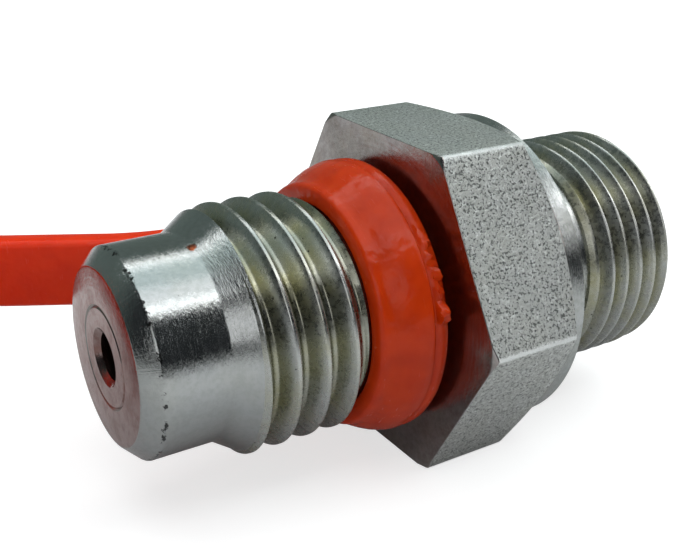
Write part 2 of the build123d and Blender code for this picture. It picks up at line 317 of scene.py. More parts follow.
def make_pits():
    """A mask of scattered round pits, in cells of a given size."""
    tree, given, result = group(
        "pits", [("Size", 0.5), ("Share", 0.25)], [("Mask", "NodeSocketFloat")],
    )
    pit_growth, soft_rim = 0.8, 0.06
    cells = tree.nodes.new("ShaderNodeTexVoronoi")
    cells.feature = "F1"
    tree.links.new(object_mm(tree), cells.inputs["Vector"])
    tree.links.new(maths(tree, "DIVIDE", 1.0, given.outputs["Size"]), cells.inputs["Scale"])
    picked = split(tree, cells.outputs["Color"])[0]
    spare = maths(tree, "SUBTRACT", given.outputs["Share"], picked, clamp=True)
    outside = maths(tree, "SUBTRACT", cells.outputs["Distance"], times(tree, spare, pit_growth))
    mask = ramp(tree, outside, 0.0, soft_rim, 1.0, 0.0)
    keep = maths(tree, "GREATER_THAN", given.outputs["Share"], picked)
    tree.links.new(times(tree, mask, keep), result.inputs["Mask"])
    return tree


pits = make_pits()
print("pits:", len(pits.nodes), "nodes")

# %% [markdown]
# ## Zinc bloom
#
# Passivated zinc is never one grey: it drifts between a cool and an olive tone over a few
# millimetres, with a finer crystal mottle on top. Two noises of different scale give the
# drift and the mottle, and each material says how much of both it shows.

# %% Group: zinc bloom
cool_zinc, olive_zinc = (0.395, 0.41, 0.41), (0.33, 0.315, 0.17)
dim_zinc = (0.22, 0.24, 0.225)


def make_zinc_bloom():
    """The plating's colour, and its mottle as a value."""
    tree, given, result = group(
        "zinc_bloom",
        [("Olive", 0.3), ("Mottle", 0.5)],
        [("Color", "NodeSocketColor"), ("Value", "NodeSocketFloat")],
    )
    place = object_mm(tree)
    drift = noise_at(tree, place, 0.35, detail=3.0, roughness=0.6)
    mottle = noise_at(tree, place, 2.6, detail=4.0, roughness=0.65)
    olive = times(tree, ramp(tree, drift, 0.35, 0.7), given.outputs["Olive"])
    base = mix(tree, olive, cool_zinc, olive_zinc)
    dark = times(tree, ramp(tree, mottle, 0.62, 0.35), given.outputs["Mottle"])
    tree.links.new(mix(tree, dark, base, dim_zinc), result.inputs["Color"])
    tree.links.new(mottle, result.inputs["Value"])
    return tree


zinc_bloom = make_zinc_bloom()
print("zinc_bloom:", len(zinc_bloom.nodes), "nodes")

# %% [markdown]
# ## Turned zinc
#
# The nose, neck, collar and faces are bright turned zinc. A polished metal shader alone
# would look like chrome, so lathe rings and grit break up its reflections, bloom tints
# it, and pits sink into it. The tool tore a dark broken line and some chatter along the
# nose's chamfer, and one rust speck sits where the nose meets the thread.

# %% Material helpers


def material(name):
    """A new material: its tree and its Principled shader."""
    made = bpy.data.materials.new(name)
    made.use_nodes = True
    return made, made.node_tree, made.node_tree.nodes["Principled BSDF"]


def use(tree, node_group, **values):
    """A group node with its input values set."""
    node = tree.nodes.new("ShaderNodeGroup")
    node.node_tree = node_group
    for label, value in values.items():
        node.inputs[label].default_value = value
    return node


def bump(tree, shader, height, distance, strength=1.0, under=None):
    """A Bump node into the shader's Normal, over another bump where one is given."""
    node = tree.nodes.new("ShaderNodeBump")
    node.inputs["Distance"].default_value = distance * MM
    node.inputs["Strength"].default_value = strength
    tree.links.new(height, node.inputs["Height"])
    if under is not None:
        tree.links.new(under, node.inputs["Normal"])
    tree.links.new(node.outputs[0], shader.inputs["Normal"])
    return node.outputs[0]


def as_steel(tree, shader, colour, rough, height, depth, sunk=None, sunk_depth=0.0):
    """Wires a metal: its colour, roughness and relief, with a mask of pits sunk into it."""
    tree.links.new(colour, shader.inputs["Base Color"])
    tree.links.new(rough, shader.inputs["Roughness"])
    shader.inputs["Metallic"].default_value = 1.0
    lathe = bump(tree, shader, height, depth)
    if sunk is not None:
        bump(tree, shader, times(tree, sunk, -1.0), sunk_depth, under=lathe)


print("material helpers: material, use, bump, as_steel")

# %% Material: turned zinc
rust_place = (-23.1, -1.5, 6.4)
rust, torn_metal, turned_pit = (0.26, 0.075, 0.035), (0.055, 0.055, 0.055), (0.10, 0.10, 0.09)
# Pinkish and red tones of a painted reflection of the orange plastic.
reflected_pink, reflected_red = (0.32, 0.225, 0.21), (0.22, 0.11, 0.095)


def torn_edge(tree, place, edge_x, colour, height):
    """Adds a chamfer's torn line and chatter, and the rust speck, to a colour and a height."""
    x, y, z = split(tree, place)
    line_reach, chatter_count, chatter_height = 0.20, 46.0, 2.4
    off_edge = maths(tree, "ABSOLUTE", maths(tree, "SUBTRACT", x, edge_x))
    torn = noise_at(tree, place, 1.7, detail=4.0, roughness=0.75)
    wide = times(tree, ramp(tree, torn, 0.5, 0.62), line_reach)
    line = ramp(tree, maths(tree, "SUBTRACT", wide, off_edge), 0.0, 0.05)
    colour = mix(tree, line, colour, torn_metal)
    turns = times(tree, maths(tree, "ARCTAN2", z, y), chatter_count)
    chatter = noise_at(tree, join(tree, turns, times(tree, x, 0.35), 0.0), 1.0, detail=2.0)
    on_chamfer = ramp(tree, x, edge_x - 0.15, edge_x + 0.05, 1.0, 0.0)
    waves = times(tree, chatter, on_chamfer)
    height = maths(tree, "MULTIPLY_ADD", waves, chatter_height, height)
    speck = tree.nodes.new("ShaderNodeVectorMath")
    speck.operation = "DISTANCE"
    tree.links.new(place, speck.inputs[0])
    speck.inputs[1].default_value = rust_place
    ragged = maths(tree, "MULTIPLY_ADD", torn, 0.5, speck.outputs["Value"])
    return mix(tree, ramp(tree, ragged, 0.62, 0.46), colour, rust), height


def make_turned(name, feed, depth, rough, olive, mottle, reflection_share=0.0, edge_x=None):
    """Turned zinc; a share of painted reflection tints it pinkish-brown, as the orange plastic
    would, and "edge_x" is the station of a torn chamfer edge.
    """
    made, tree, shader = material(name)
    place = object_mm(tree)
    x, y, z = split(tree, place)
    marks = use(tree, turning_marks, Feed=feed, Unevenness=0.6)
    bloom = use(tree, zinc_bloom, Olive=olive, Mottle=mottle)
    spots = use(tree, pits, Size=0.55, Share=0.07)
    colour = bloom.outputs["Color"]
    # Painted reflection: a cloudy pinkish-red tint, where the orange strap and ring would be
    # reflected.
    if reflection_share:
        cloud = noise_at(tree, place, 0.9, detail=4.0, roughness=0.7)
        reflected_tint = mix(tree, ramp(tree, cloud, 0.42, 0.62), reflected_pink, reflected_red)
        colour = mix(tree, reflection_share, colour, reflected_tint)
    grit_squeeze, grit_height = 3.6, 5.5
    grit_place = join(tree, times(tree, x, grit_squeeze), y, z)
    grit = noise_at(tree, grit_place, 1.9, detail=4.0, roughness=0.72)
    height = maths(tree, "MULTIPLY_ADD", grit, grit_height, marks.outputs["Height"])
    if edge_x is not None:
        colour, height = torn_edge(tree, place, edge_x, colour, height)
    colour = mix(tree, spots.outputs["Mask"], colour, turned_pit)
    streak = ramp(tree, marks.outputs["Streak"], 0.3, 0.7, rough * 0.75, rough * 1.35)
    as_steel(tree, shader, colour, streak, height, depth, spots.outputs["Mask"], 0.03)
    return made


chamfer_edge = nose_face + nose_chamfer
nose_zinc = make_turned("nose_zinc", 0.11, 0.0045, 0.15, 0.08, 0.2, edge_x=chamfer_edge)
collar_zinc = make_turned("collar_zinc", 0.12, 0.0040, 0.20, 0.12, 0.4)
# Painted reflection: the faces and the flanks get a share of it.
face_zinc = make_turned("face_zinc", 0.16, 0.0030, 0.17, 0.15, 0.6, reflection_share=0.9)
flank_zinc = make_turned("flank_zinc", 0.14, 0.0030, 0.19, 0.25, 0.6, reflection_share=0.35)
for made in (nose_zinc, collar_zinc, face_zinc, flank_zinc):
    print(made.name, len(made.node_tree.nodes), "nodes")

# %% [markdown]
# ## Thread zinc
#
# Plating gathers oil and olive passivate in the roots of a thread and is rubbed bright on
# its crests. Painted rings would not follow a helix. The distance from the axis does,
# because it alone tells crest from root, so it mixes the two tones.

# %% Material: thread zinc
crest_bright, root_olive, thread_pit = (0.50, 0.51, 0.49), (0.25, 0.24, 0.135), (0.07, 0.07, 0.055)


def make_thread_zinc(name, crest_r, depth):
    """Zinc for a thread of a given crest radius and depth."""
    made, tree, shader = material(name)
    marks = use(tree, turning_marks, Feed=0.07, Unevenness=0.4)
    bloom = use(tree, zinc_bloom, Olive=1.0, Mottle=0.45)
    spots = use(tree, pits, Size=0.45, Share=0.16)
    crest_end, root_start = crest_r - 0.12, crest_r - 0.75 * depth
    valley = ramp(tree, axis_radius(tree, object_mm(tree)), crest_end, root_start)
    tint = mix(tree, times(tree, valley, 0.75), crest_bright, root_olive)
    colour = mix(tree, 0.45, tint, bloom.outputs["Color"])
    colour = mix(tree, spots.outputs["Mask"], colour, thread_pit)
    rough = ramp(tree, bloom.outputs["Value"], 0.3, 0.7, 0.20, 0.36)
    height = marks.outputs["Height"]
    as_steel(tree, shader, colour, rough, height, 0.004, spots.outputs["Mask"], 0.04)
    return made


front_crest_r, stud_crest_r = 7.95, 8.33
front_thread_zinc = make_thread_zinc("front_thread_zinc", front_crest_r, 1.2)
stud_thread_zinc = make_thread_zinc("stud_thread_zinc", stud_crest_r, 0.856)
print("thread zinc for crests at", front_crest_r, "and", stud_crest_r)

# %% [markdown]
# ## Hexagon zinc
#
# The flats keep the skin of the drawn bar: a coarse sandy grain under the plating, dark
# in its hollows, with a painted glint on its grains. The edges between two flats get a
# painted highlight, with a ragged border. A bevel mask could find them, but the angle
# round the axis does so too.

# %% Material: hexagon zinc
# The bar's colour, a painted glint for its grains, its hollows, and a painted highlight for its
# edges.
bar_zinc, grain_glint = (0.68, 0.69, 0.66), (0.84, 0.86, 0.84)
bar_hollow, edge_highlight = (0.07, 0.075, 0.07), (0.88, 0.90, 0.89)


def out_at_corners(tree, place):
    """1 out at the corners of the hexagon, 0 on the flats and at the chamfers' feet."""
    return ramp(tree, axis_radius(tree, place), hex_corner_r - 0.9, hex_corner_r - 0.5)


def beside_corner(tree, place):
    """How far round from the nearest corner, in millimetres: 0 on the edge of two flats."""
    x, y, z = split(tree, place)
    sixth = math.radians(60)
    turns = maths(tree, "DIVIDE", maths(tree, "ARCTAN2", z, y), sixth)
    return times(tree, maths(tree, "PINGPONG", turns, 0.5), hex_corner_r * sixth)


def make_hex_zinc():
    """The drawn bar's grainy zinc, with a painted highlight on its edges and a painted glint on
    its grains.
    """
    made, tree, shader = material("hex_zinc")
    place = object_mm(tree)
    bloom = use(tree, zinc_bloom, Olive=0.2, Mottle=0.3)
    grain = noise_at(tree, place, 3.1, detail=5.0, roughness=0.74)
    fine = noise_at(tree, place, 11.0, detail=2.0, roughness=0.6)
    dots = noise_at(tree, place, 6.0, detail=3.0, roughness=0.66)
    ragged = maths(tree, "MULTIPLY_ADD", fine, 0.5, beside_corner(tree, place))
    # Painted highlight along the edges between two flats.
    edge_highlight_mask = times(tree, ramp(tree, ragged, 0.50, 0.34), out_at_corners(tree, place))
    # Painted glint on the tops of the grains.
    glint_mask = times(tree, ramp(tree, grain, 0.50, 0.64), 0.65)
    hollows = times(tree, ramp(tree, dots, 0.475, 0.40), 0.88)
    colour = mix(tree, 0.5, bloom.outputs["Color"], bar_zinc)
    colour = mix(tree, glint_mask, colour, grain_glint)
    colour = mix(tree, hollows, colour, bar_hollow)
    colour = mix(tree, edge_highlight_mask, colour, edge_highlight)
    tree.links.new(colour, shader.inputs["Base Color"])
    tree.links.new(ramp(tree, fine, 0.3, 0.7, 0.27, 0.42), shader.inputs["Roughness"])
    shader.inputs["Metallic"].default_value = 1.0
    coarse = bump(tree, shader, grain, 0.13, strength=0.9)
    pitted = bump(tree, shader, dots, 0.06, under=coarse)
    bump(tree, shader, fine, 0.02, under=pitted)
    return made


hex_zinc = make_hex_zinc()
print("hex_zinc:", len(hex_zinc.node_tree.nodes), "nodes")

# %% [markdown]
# ## Inner steel, rubber and seal rings
#
# The bore and the valve are plain turned steel, and the seals are moulded rubber or white
# ring stock. They are seldom seen, yet a flat colour would give them away in the bore's
# mouth, so the steel reuses the turning marks and the soft parts get a faint grain.

# %% Material: inner steel and seals


def make_plain_metal(name, colour, rough):
    """Unplated turned steel."""
    made, tree, shader = material(name)
    marks = use(tree, turning_marks, Feed=0.08, Unevenness=0.4)
    rings = marks.outputs["Streak"]
    tone = mix(tree, ramp(tree, rings, 0.3, 0.7), colour, tuple(c * 0.8 for c in colour))
    streak = ramp(tree, rings, 0.3, 0.7, rough, rough * 1.4)
    as_steel(tree, shader, tone, streak, marks.outputs["Height"], 0.002)
    return made


def make_soft(name, colour, rough, grain, depth):
    """Rubber or seal plastic with a fine grain."""
    made, tree, shader = material(name)
    speckle = noise_at(tree, object_mm(tree), grain, detail=3.0)
    tone = mix(tree, ramp(tree, speckle, 0.35, 0.65), colour, tuple(c * 0.7 for c in colour))
    streak = ramp(tree, speckle, 0.3, 0.7, rough * 0.85, rough * 1.15)
    tree.links.new(tone, shader.inputs["Base Color"])
    tree.links.new(streak, shader.inputs["Roughness"])
    bump(tree, shader, speckle, depth)
    return made


bore_steel = make_plain_metal("bore_steel", (0.42, 0.42, 0.40), 0.32)
inner_steel = make_plain_metal("inner_steel", (0.60, 0.58, 0.56), 0.22)
spring_steel = make_plain_metal("spring_steel", (0.36, 0.36, 0.37), 0.28)
seal_rubber = make_soft("seal_rubber", (0.022, 0.022, 0.024), 0.55, 4.0, 0.01)
ring_ptfe = make_soft("ring_ptfe", (0.80, 0.80, 0.77), 0.5, 3.0, 0.004)
for made in (bore_steel, inner_steel, spring_steel, seal_rubber, ring_ptfe):
    print(made.name, len(made.node_tree.nodes), "nodes")

# %% [markdown]
# ## Moulded plastic
#
# The strap and the cap are a soft orange-red plastic with a satin skin. A plain glossy
# red would look painted. Light enters this plastic a little, so it gets some subsurface
# scattering, which reaches further in red than in green. The ring is painted darker, as
# painted shade where the hexagon and the thread shade it, and the mix of the two tones
# follows the station, so that it stays put when the strap turns. A wide ripple gives the
# moulding's slightly uneven skin, and a scuff noise drawn out round the ring gives its wear.

# %% Material: moulded plastic
# Tones for the strap in the open, and darker tones that paint the shade falling on the ring.
unshaded_tones = (0.75, 0.033, 0.0010), (0.69, 0.027, 0.0009)
shaded_tones = (0.53, 0.036, 0.0014), (0.45, 0.027, 0.0011)
shade_from, shade_full = -18.0, -14.6


def make_orange():
    """Orange-red plastic, with painted shade that turns it darker towards the ring."""
    made, tree, shader = material("orange_plastic")
    place = object_mm(tree)
    x, y, z = split(tree, place)
    cloud = ramp(tree, noise_at(tree, place, 0.5, detail=2.0), 0.3, 0.7)
    ripple = noise_at(tree, place, 1.1, detail=2.0, roughness=0.45)
    drawn = join(tree, times(tree, x, 9.0), times(tree, y, 1.2), times(tree, z, 1.2))
    scuff = noise_at(tree, drawn, 1.0, detail=3.0)
    unshaded, shaded = mix(tree, cloud, *unshaded_tones), mix(tree, cloud, *shaded_tones)
    # Painted shade: the ring end takes the darker tones.
    colour = mix(tree, ramp(tree, x, shade_from, shade_full), unshaded, shaded)
    tree.links.new(colour, shader.inputs["Base Color"])
    tree.links.new(ramp(tree, scuff, 0.35, 0.75, 0.20, 0.28), shader.inputs["Roughness"])
    shader.inputs["IOR"].default_value = 1.5
    shader.inputs["Specular IOR Level"].default_value = 0.2
    shader.inputs["Subsurface Weight"].default_value = 0.25
    shader.inputs["Subsurface Radius"].default_value = (1.4 * MM, 0.25 * MM, 0.05 * MM)
    shader.inputs["Subsurface Scale"].default_value = 1.0
    wave = bump(tree, shader, ripple, 0.085)
    bump(tree, shader, scuff, 0.0004, under=wave)
    return made


orange_plastic = make_orange()
print("orange_plastic:", len(orange_plastic.node_tree.nodes), "nodes")

# %% [markdown]
# ## Tools for turned work
#
# A lathe makes a part by turning one outline. A cylinder primitive for every step would
# leave joints between them, so the outline is one chain of vertices and edges in the XZ
# plane, and the spin operator turns it about the X axis. Each vertex of the chain gets a
# number that spin copies round, so a station can be found again later to colour it, or
# to press it out of round.

# %% Draw an outline


def eased(points, reach_mm=0.08):
    """Rounds the inner corners of an open polyline with three points each."""
    out = [points[0]]
    for before, corner, after in zip(points, points[1:], points[2:]):
        cut = []
        for other in (before, after):
            span = math.dist(corner, other)
            share = min(reach_mm, span / 2) / span if span > 1e-6 else 0
            cut.append(tuple(c + share * (o - c) for c, o in zip(corner, other)))
        first, last = cut
        middle = tuple((a + b + 2 * c) / 4 for a, b, c in zip(first, last, corner))
        out += [first, middle, last]
    return out + [points[-1]]


def chain(bm, points, closed=False):
    """A chain of edges through (station, radius) points, in millimetres."""
    verts = [bm.verts.new((x * MM, 0, r * MM)) for x, r in points]
    pairs = list(zip(verts, verts[1:])) + ([(verts[-1], verts[0])] if closed else [])
    return verts, [bm.edges.new(pair) for pair in pairs]


print("a square corner eases to", eased([(0, 0), (1, 0), (1, 1)])[1:-1])

# %% Spin an outline


def spin_x(bm, geom, steps, angle=FULL_TURN, advance=0.0, merge=False):
    """Spins geometry about the X axis, which moves on by "advance" metres at each step."""
    return bmesh.ops.spin(
        bm, geom=geom, cent=(0, 0, 0), axis=(1, 0, 0), dvec=(advance, 0, 0),
        angle=angle, steps=steps, use_merge=merge, use_duplicate=False,
    )["geom_last"]


def turned(points, slots, steps):
    """A bmesh of a closed chain spun once, with its stations numbered and coloured."""
    bm = bmesh.new()
    number = bm.verts.layers.int.new("station")
    verts, edges = chain(bm, points, closed=True)
    for i, v in enumerate(verts):
        v[number] = i
    spin_x(bm, verts + edges, steps, merge=True)
    last = len(points) - 1
    for face in bm.faces:
        numbers = {v[number] for v in face.verts}
        face.material_index = slots[last if numbers == {0, last} else min(numbers)]
    print("turned", len(points), "stations in", steps, "steps:", len(bm.faces), "faces")
    return bm, number


print("lathe helpers: spin_x, turned")

# %% [markdown]
# ## The hexagon's outline
#
# A spanner hexagon is milled from round bar, and its corners are then chamfered on the
# lathe. It could be cut out with booleans, which leave ragged faces. Here the section of
# the turned body simply changes with the angle: out to the flats between the corners, and
# the corner chamfers follow from how far the outline stands past the chamfer's land.

# %% Hexagon outline
body_steps = 192
step_angle = FULL_TURN / body_steps
corner_half = math.radians(0.8)
corner_fall = math.tan(math.radians(30))
neck_fillet_reach = 0.3


def hex_radius(angle):
    """Distance from the axis to the hexagon's outline at an angle in radians."""
    off = (angle + math.pi / 3) % (math.pi / 3) - math.pi / 6
    return half_flats / math.cos(min(abs(off), math.pi / 6 - corner_half / 2))


def hex_section(angle):
    """Section points of the hexagon, with both corner chamfers, at an angle."""
    r = hex_radius(angle)
    land = min(r, hex_land_r)
    return eased([
        (hex_front, neck_r + neck_fillet_reach),
        (hex_front, land),
        (hex_front + (r - land) * corner_fall, r),
        (hex_rear - (r - collar_r) * corner_fall, r),
        (hex_rear, collar_r),
        (-collar_edge, collar_r),
    ])


def crisp_angle(angle):
    """Draws the columns beside each corner in to it, so that the corner stays crisp."""
    off = (angle + math.pi / 6) % (math.pi / 3) - math.pi / 6
    beside = 0.5 * step_angle < abs(off) < 1.5 * step_angle
    return angle - off + math.copysign(corner_half, off) if beside else angle


print("hexagon", round(2 * half_flats, 2), "across flats,", round(2 * hex_corner_r, 2), "corners")

# %% [markdown]
# ## The steel body
#
# The real body is turned and bored from one bar, so it is one closed half-section here
# too: along the outside from the nose to the stud, and back through the bore. Its seats
# and grooves are read from the pieces that lie in them. A short cone leads from the nose
# into the thread, and hides the start of the ridge that is added later.

# %% Outside of the half-section
mouth_chamfer = 0.12
lead_in, lead_in_r, lead_in_drop = 1.65, 7.72, 0.35
neck_fillet = 0.09
nose_part = eased([
    (nose_face, insert_r + mouth_chamfer),
    (nose_face, nose_r - nose_chamfer),
    (nose_face + nose_chamfer, nose_r),
    (thread_front, nose_r),
    (thread_front + lead_in, lead_in_r),
])
neck_part = [
    (thread_front + lead_in + lead_in_drop, nose_r),
    (neck_front - fit_gap, nose_r),
    (neck_front - fit_gap, neck_r),
    (hex_front - neck_fillet_reach, neck_r),
    (hex_front - neck_fillet, neck_r + neck_fillet),
]
hex_part = hex_section(0)
stud_part = [
    (0, collar_r - collar_edge),
    (0, seal_recess_r),
    (seal_recess_x, seal_recess_r),
    (seal_recess_x, relief_r),
    (stud_end - stud_tip_length, relief_r),
    (stud_end, stud_tip_r),
]
print("outside:", len(nose_part), len(neck_part), len(hex_part), len(stud_part), "points")

# %% Bore of the half-section
bore_part = [
    (stud_end, stud_bore_r + stud_bore_chamfer),
    (stud_end - stud_bore_chamfer, stud_bore_r),
    (circlip_rear + fit_gap, stud_bore_r),
    (circlip_rear + fit_gap, circlip_groove_r),
    (retainer_rear, circlip_groove_r),
    (retainer_rear, stud_bore_r),
    (retainer_front, stud_bore_r),
    (retainer_front, chamber_r),
    (gland_floor + passage_length + chamber_r - passage_r, chamber_r),
    (gland_floor + passage_length, passage_r),
    (gland_floor, passage_r),
    (gland_floor, insert_r),
    (nose_face + mouth_chamfer, insert_r),
]
print("bore:", len(bore_part), "points")

# %% Turn the body and press the hexagon
NOSE, FRONT, TURNED, FLAT, FLANK, STUD, BORE, MOUTH = range(8)
hex_slots = [FLANK] * 6 + [FLAT] * 3 + [FLANK] * (len(hex_part) - 11) + [TURNED] * 2
body_slots = (
    [MOUTH] + [NOSE] * (len(nose_part) - 2) + [TURNED] + [TURNED] * len(neck_part)
    + hex_slots + [TURNED] * 4 + [STUD] + [FLANK] + [BORE] * len(bore_part)
)
body_points = nose_part + neck_part + hex_part + stud_part + bore_part
body_bm, number = turned(body_points, body_slots, body_steps)


def angle_of(v):
    """Angle of a vertex round the X axis, from +Y towards +Z."""
    return math.atan2(v.co.z, v.co.y)


hex_from = len(nose_part) + len(neck_part)
for v in body_bm.verts:
    k = v[number] - hex_from
    if 0 <= k < len(hex_part):
        angle = crisp_angle(angle_of(v))
        x, r = hex_section(angle)[k]
        v.co = Vector((x, r * math.cos(angle), r * math.sin(angle))) * MM
print("pressed stations", hex_from, "to", hex_from + len(hex_part) - 1, "out to the hexagon")

# %% [markdown]
# ## Threads
#
# A real thread is one helical groove, which a Screw modifier or a row of rings could only
# come near. Here it is one ridge drawn once and spun many turns, with a small step along
# the axis at each turn of the crank: the spin operator's dvec. The turns meet edge to
# edge and merge. Two plane cuts trim the ends, a cone at each end takes the crest down,
# and the ridge is closed by an inner wall that lies hidden in the steel below.

# %% Spin a ridge into turns
crest_angle = math.radians(153.3)


def radius_of(v):
    """Distance of a vertex from the X axis, in millimetres."""
    return math.hypot(v.co.y, v.co.z) / MM


def set_radius(v, r):
    """Moves a vertex in or out to a radius in millimetres."""
    scale = r / radius_of(v)
    v.co.y *= scale
    v.co.z *= scale


def pick(geometry, kind):
    """The elements of one bmesh type in an operator's result."""
    return [g for g in geometry if isinstance(g, kind)]


def ridge_turns(half_profile, pitch, crest_x, front, rear):
    """Right-hand turns of a ridge, whose crest passes crest_x at the angle crest_angle."""
    outline = [(-x, r) for x, r in reversed(half_profile[1:])] + half_profile
    first = crest_x - crest_angle / FULL_TURN * pitch
    first -= pitch * math.ceil((first - front) / pitch + 1)
    turns = math.ceil((rear - first) / pitch) + 1
    bm = bmesh.new()
    # The chain stands at +Z, a quarter turn on from +Y, where the angle starts.
    verts, edges = chain(bm, [(first + pitch / 4 + x, r) for x, r in outline])
    spin_x(bm, verts + edges, body_steps, advance=pitch * MM / body_steps)
    one_turn = bm.verts[:] + bm.edges[:] + bm.faces[:]
    for turn in range(1, turns):
        copy = bmesh.ops.duplicate(bm, geom=one_turn)["geom"]
        along = (turn * pitch * MM, 0, 0)
        bmesh.ops.translate(bm, verts=pick(copy, bmesh.types.BMVert), vec=along)
    bmesh.ops.remove_doubles(bm, verts=bm.verts, dist=0.004 * MM)
    print("pitch", pitch, "spun", turns, "turns")
    return bm


print("a crest passes its station at", round(math.degrees(crest_angle), 1), "degrees")

# %% Trim and close a thread


def thread(half_profile, pitch, crest_x, ends, cones, inner_r, slot):
    """An external thread as a closed sleeve, on profile offsets from the crest.

    "cones" are the greatest radii at the two ends, which grow inwards at 45 degrees.
    """
    front, rear = ends
    bm = ridge_turns(half_profile, pitch, crest_x, front, rear)
    for x, before in ((front, True), (rear, False)):
        bmesh.ops.bisect_plane(
            bm, geom=bm.verts[:] + bm.edges[:] + bm.faces[:], dist=1e-8,
            plane_co=(x * MM, 0, 0), plane_no=(1, 0, 0),
            clear_inner=before, clear_outer=not before,
        )
    for v in bm.verts:
        x = v.co.x / MM
        set_radius(v, min(radius_of(v), cones[0] + x - front, cones[1] + rear - x))
    rims = []
    for x in ends:
        rim = [e for e in bm.edges if e.is_boundary and abs(e.verts[0].co.x / MM - x) < 1e-3]
        grown = bmesh.ops.extrude_edge_only(bm, edges=rim)["geom"]
        for v in pick(grown, bmesh.types.BMVert):
            set_radius(v, inner_r)
        rims += [e for e in pick(grown, bmesh.types.BMEdge) if e.is_boundary]
    bmesh.ops.bridge_loops(bm, edges=rims)
    for face in bm.faces:
        face.material_index = slot
    print("thread of pitch", pitch, "has", len(bm.faces), "faces")
    return bm


print("thread helpers: ridge_turns, thread")

# %% Cut both threads
ridge_start, ridge_gap = 0.9, 0.02


def join_in(bm, other):
    """Adds another bmesh's geometry to a bmesh, and frees the other."""
    mesh = bpy.data.meshes.new("joined")
    other.to_mesh(mesh)
    other.free()
    bm.from_mesh(mesh)
    bpy.data.meshes.remove(mesh)


front_profile = [
    (0, front_crest_r), (0.07, front_crest_r), (0.12, 7.925), (0.165, 7.87), (0.48, 7.33),
    (0.76, 6.86), (0.82, 6.79), (0.90, 6.755), (1.0, 6.75),
]
stud_profile = [
    (0, stud_crest_r), (0.05, 8.325), (0.10, 8.28), (0.14, 8.21),
    (0.33, 7.88), (0.53, 7.56), (0.58, 7.50), (0.6685, 7.474),
]
join_in(body_bm, thread(
    front_profile, pitch=2.0, crest_x=-21.71,
    ends=(thread_front + ridge_start, neck_front), cones=(7.05, 6.95), inner_r=6.3, slot=FRONT,
))
join_in(body_bm, thread(
    stud_profile, pitch=1.337, crest_x=5.16,
    ends=(relief_width, stud_end - ridge_gap), cones=(7.52, 6.87), inner_r=6.6, slot=STUD,
))

# %% [markdown]
# ## Finishing a piece
#
# Each piece ends in the same way, so it is one helper: seams and poles are merged, the
# normals are turned outwards, and the faces are smooth up to a sharp angle. The piece
# then rides on its CAD body, and the CAD node it stands for is hidden.

# %% Finish the body


def as_piece(name, bm, body, materials, node, sharp):
    """Makes a finished piece of a bmesh, in place of a CAD node."""
    bmesh.ops.remove_doubles(bm, verts=bm.verts, dist=0.003 * MM)
    bmesh.ops.dissolve_degenerate(bm, edges=bm.edges, dist=0.001 * MM)
    bmesh.ops.recalc_face_normals(bm, faces=bm.faces)
    open_edges = sum(not e.is_manifold for e in bm.edges)
    mesh = bpy.data.meshes.new(name)
    bm.to_mesh(mesh)
    bm.free()
    for made in materials:
        mesh.materials.append(made)
    mesh.shade_smooth()
    mesh.set_sharp_from_angle(angle=math.radians(sharp))
    piece = bpy.data.objects.new(name, mesh)
    scene.collection.objects.link(piece)
    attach(piece, body)
    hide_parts(node)
    print(name, len(mesh.polygons), "faces,", open_edges, "open edges")
    return piece


body_finishes = [
    nose_zinc, front_thread_zinc, collar_zinc, hex_zinc,
    flank_zinc, stud_thread_zinc, bore_steel, face_zinc,
]
as_piece("coupling_body", body_bm, "coupling", body_finishes, "body", 26)

# %% [markdown]
# ## The strap's ring
#
# The ring on the neck flares from a small bead to a wide band, and ends in a lip that the
# mould has left ragged on one side. Such flash could be sculpted, but the ring is a
# turned form like the body, and a little noise tears the numbered stations of its lip
# along the side where the mould parted. One nub stands out where the gate was.

# %% Strap ring
ring_length, ring_gap = 4.2, 0.08
ring_rear = station("cap_strap", 1)
ring_front = ring_rear - ring_length
ring_bore_r = neck_r + ring_gap
ring_points = [(ring_front + x, r) for x, r in [
    (0, ring_bore_r + 0.15), (0, 7.90), (0.10, 8.05), (0.28, 8.16), (0.5, 8.20),
    (0.68, 8.25), (0.95, 8.40), (1.25, 8.60), (1.7, 8.85), (2.15, 9.06), (2.6, 9.20),
    (2.95, 9.27), (3.12, 9.25), (3.22, 9.12), (3.30, 9.07), (3.38, 9.12),
    (3.48, 9.20), (3.7, 9.25), (3.95, 9.22), (ring_length, 9.08),
    (ring_length, ring_bore_r + 0.1), (ring_length - 0.1, ring_bore_r), (0.15, ring_bore_r),
]]
lip_stations = range(16, 19)
flash_angle, flash_spread = math.radians(150), 0.30
nub_angle, nub_spread = math.radians(167), 0.055


def beside(angle, middle, spread):
    """1 near an angle, falling off steeply past its spread."""
    return math.exp(-(((angle - middle) / spread) ** 4))


strap_bm, number = turned(ring_points, [0] * len(ring_points), 256)
lip = [v for v in strap_bm.verts if v[number] in lip_stations]
for v in lip:
    angle = angle_of(v)
    flash = beside(angle, flash_angle, flash_spread)
    nub = beside(angle, nub_angle, nub_spread)
    coarse = noise.noise(Vector((angle * 11.0, 2.0, 0.0)))
    fine = noise.noise(Vector((angle * 43.0, 5.0, v[number] * 0.8)))
    torn = flash * (0.06 + 0.46 * coarse + 0.26 * fine)
    set_radius(v, radius_of(v) + torn + nub * (0.62 + 0.3 * fine))
    v.co.x += MM * (flash * 0.22 * fine - nub * 0.10)
print("lip of", len(lip), "vertices, out to", round(max(radius_of(v) for v in lip), 2))

# %% [markdown]
# ## The strap's band
#
# The band is a moulded strip on edge, with rounded corners. A curve with a bevel would
# do, but its section twists in tight bends. Instead the outline, a circle drawn out to a
# rounded rectangle, is extruded along the straight runs and spun round the bends, as a
# strip is bent over formers.

# %% Run and bend a strip


def heading_to(heading):
    """A unit vector in the plan, at an angle in radians."""
    return Vector((math.cos(heading), math.sin(heading), 0))


